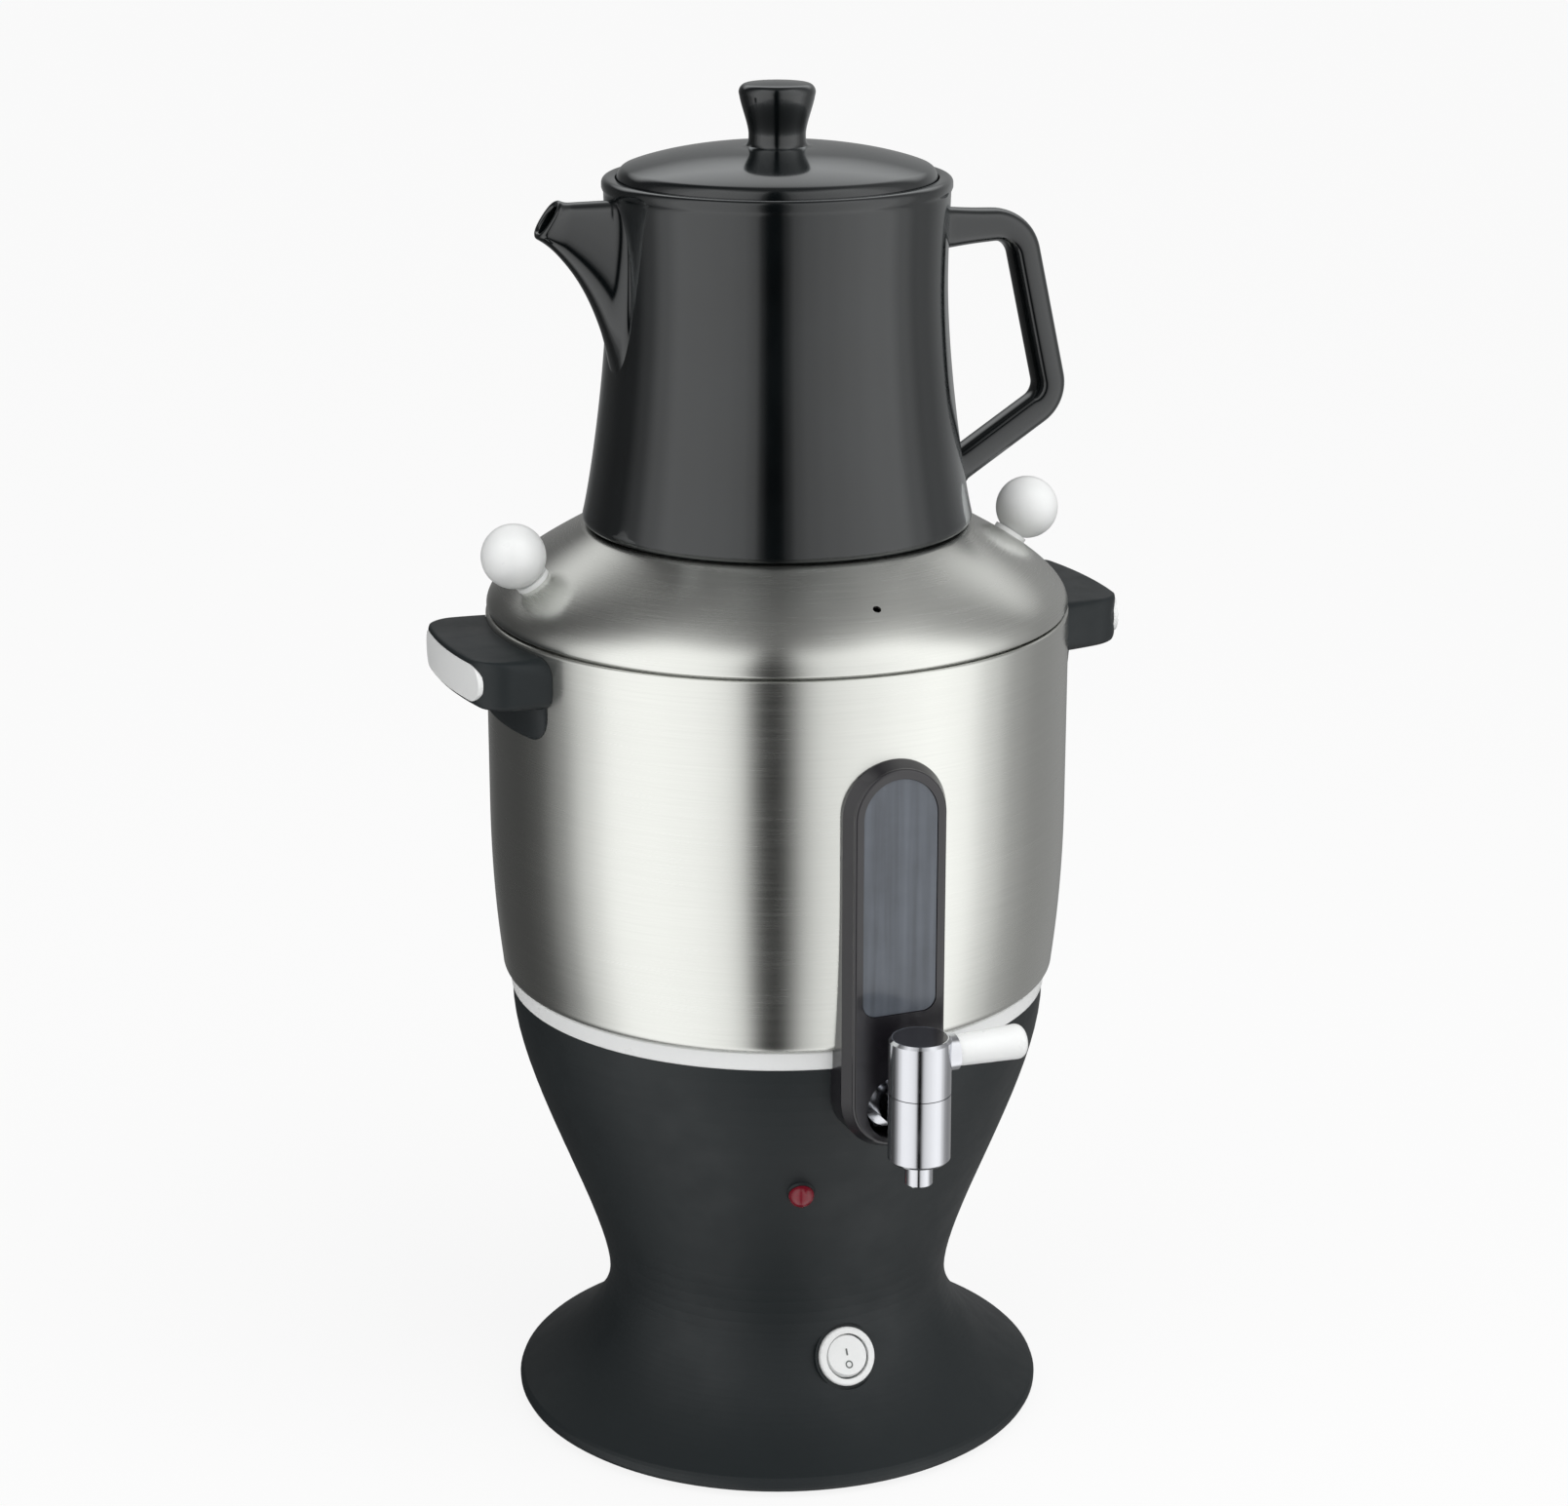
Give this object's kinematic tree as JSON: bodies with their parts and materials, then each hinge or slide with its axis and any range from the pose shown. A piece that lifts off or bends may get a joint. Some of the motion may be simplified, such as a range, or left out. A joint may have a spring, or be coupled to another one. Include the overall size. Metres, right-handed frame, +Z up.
{
  "type": "electric samovar",
  "caption": "Electric samovar: a steel water tank on a waisted black pedestal, with a plug tap, a sight glass, a rocker switch and a teapot kept warm on the domed lid.",
  "frame": {"origin": "on the table, in the middle of the box around the whole part: in the plane that parts it into its left and right halves, 17.25 mm in front of the tank's axis", "axes": "+Z up, parallel to the axis of the tank; -Y is the front, where the tap, the sight glass and the switch are; +X is the side of the teapot's handle and -X the side of its spout"},
  "size_m": [0.255, 0.2475, 0.5],
  "materials": {
    "black_moulding": "satin",
    "gloss_black": "polished",
    "white_moulding": "glossy",
    "stainless": "brushed",
    "plain_steel": "zinc plated",
    "chrome": "polished",
    "brass": "turned",
    "cast_aluminium": "cast",
    "smoked_pane": "smoked",
    "red_lens": "glossy",
    "black_rubber": "matte",
    "silicone": "matte",
    "porcelain": "matte",
    "black_glaze": "glazed"
  },
  "bodies": {
    "housing": {"pedestal": "black_moulding", "base_plate": "black_moulding", "rubber_feet": "black_rubber", "base_screws": "plain_steel", "cord_bush": "black_rubber", "trim_ring": "white_moulding", "tank": "stainless", "tank_well": "stainless", "heating_disc": "cast_aluminium", "heating_element": "plain_steel", "thermostat": "cast_aluminium", "thermal_fuse": "silicone", "terminal_block": "porcelain", "tie_stud": "plain_steel", "tie_bridge": "plain_steel", "tie_nut": "plain_steel", "lamp_holder": "black_moulding", "lamp_lens": "red_lens", "switch_body": "white_moulding", "sight_bezel": "gloss_black", "sight_window": "smoked_pane", "sight_seal": "silicone", "tap_body": "chrome", "tap_spacer": "silicone", "tap_lock_nut": "chrome", "tap_inner_seal": "silicone", "tap_inner_nut": "brass", "handle_left": "black_moulding", "handle_right": "black_moulding", "handle_insert_left": "white_moulding", "handle_insert_right": "white_moulding", "handle_screws": "plain_steel"},
    "tap_plug": {"tap_cap": "chrome", "tap_cap_disc": "gloss_black", "tap_lever": "white_moulding"},
    "rocker": {"switch_rocker": "white_moulding"},
    "steam_lid": {"tank_lid": "stainless", "ball_knob_left": "white_moulding", "ball_knob_right": "white_moulding", "ball_knob_screws": "plain_steel"},
    "pot": {"teapot": "black_glaze"},
    "pot_lid": {"teapot_lid": "black_glaze"}
  },
  "joints": [
    {"name": "tap_turn", "type": "hinge", "parent": "housing", "child": "tap_plug", "pos_m": [0, -0.11275, 0.167], "axis": [0, 0, 1], "range_deg": [-90, 0]},
    {"name": "switch_rock", "type": "hinge", "parent": "housing", "child": "rocker", "pos_m": [0, -0.04877, 0.03763], "axis": [1, 0, 0], "range_deg": [0, 16]},
    {"name": "steam_lid_lift", "type": "slide", "parent": "housing", "child": "steam_lid", "axis": [0, 0, 1], "range_m": [0, 0.06]},
    {"name": "pot_lift", "type": "slide", "parent": "steam_lid", "child": "pot", "axis": [0, 0, 1], "range_m": [0, 0.06]},
    {"name": "pot_lid_lift", "type": "slide", "parent": "pot", "child": "pot_lid", "axis": [0, 0, 1], "range_m": [0, 0.06]}
  ]
}
